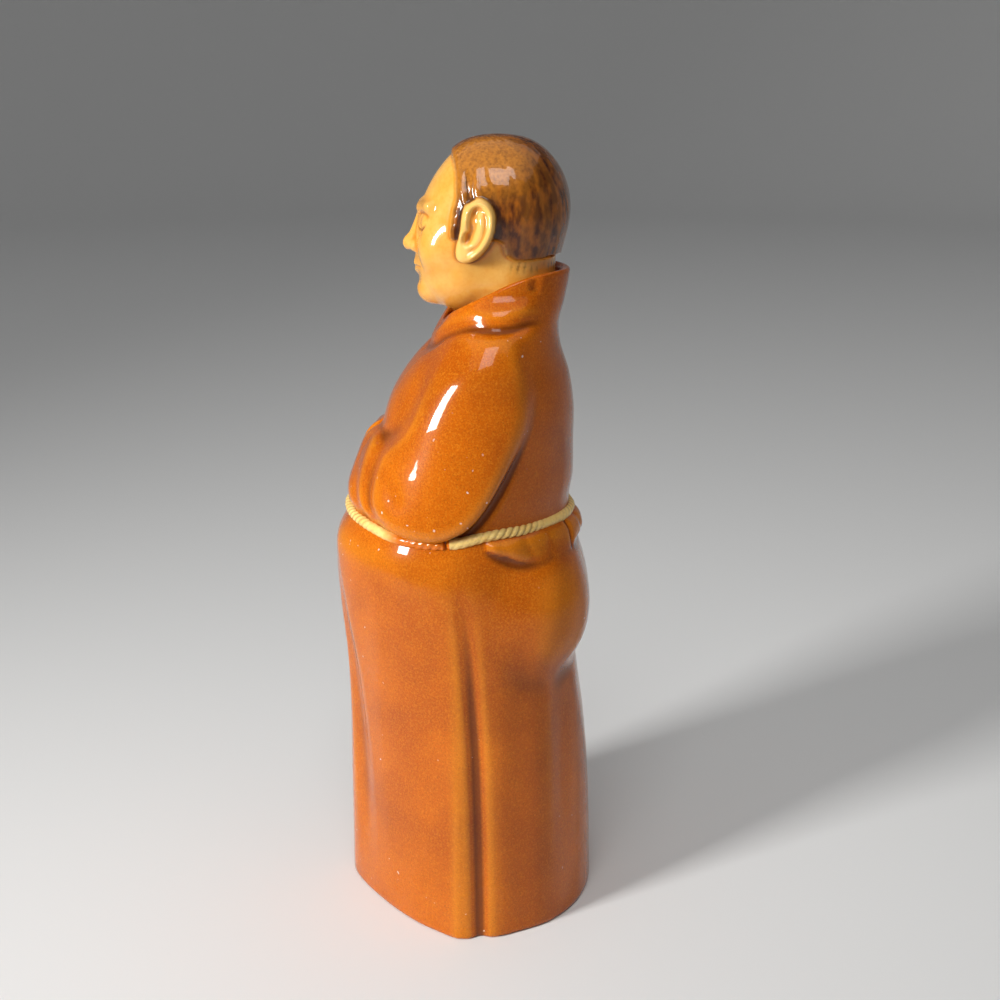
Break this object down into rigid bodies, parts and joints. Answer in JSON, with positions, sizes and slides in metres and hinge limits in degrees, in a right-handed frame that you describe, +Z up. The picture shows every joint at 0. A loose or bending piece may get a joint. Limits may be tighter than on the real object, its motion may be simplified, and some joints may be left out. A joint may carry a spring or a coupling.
{
  "type": "figural decanter",
  "caption": "Hollow glazed ceramic decanter shaped as a robed friar, with a moulded rope girdle and a lift-off head that closes the neck on a cork sleeve.",
  "frame": {"origin": "centre of the overall box at the level of the foot ring", "axes": "+Z up, the friar faces -Y, the friar's left hand side is +X"},
  "size_m": [0.1058, 0.0998, 0.2961],
  "materials": {
    "robed_vessel": "thick glossy amber-brown glaze, darker where it pools, cream on the rope",
    "head_stopper": "glossy ochre glaze on the skin, mottled dark brown on the hair, cream ears",
    "cork_sleeve": "bare cork"
  },
  "bodies": {
    "root": {"robed_vessel": "robed_vessel", "head_stopper": "head_stopper", "cork_sleeve": "cork_sleeve"}
  },
  "joints": []
}
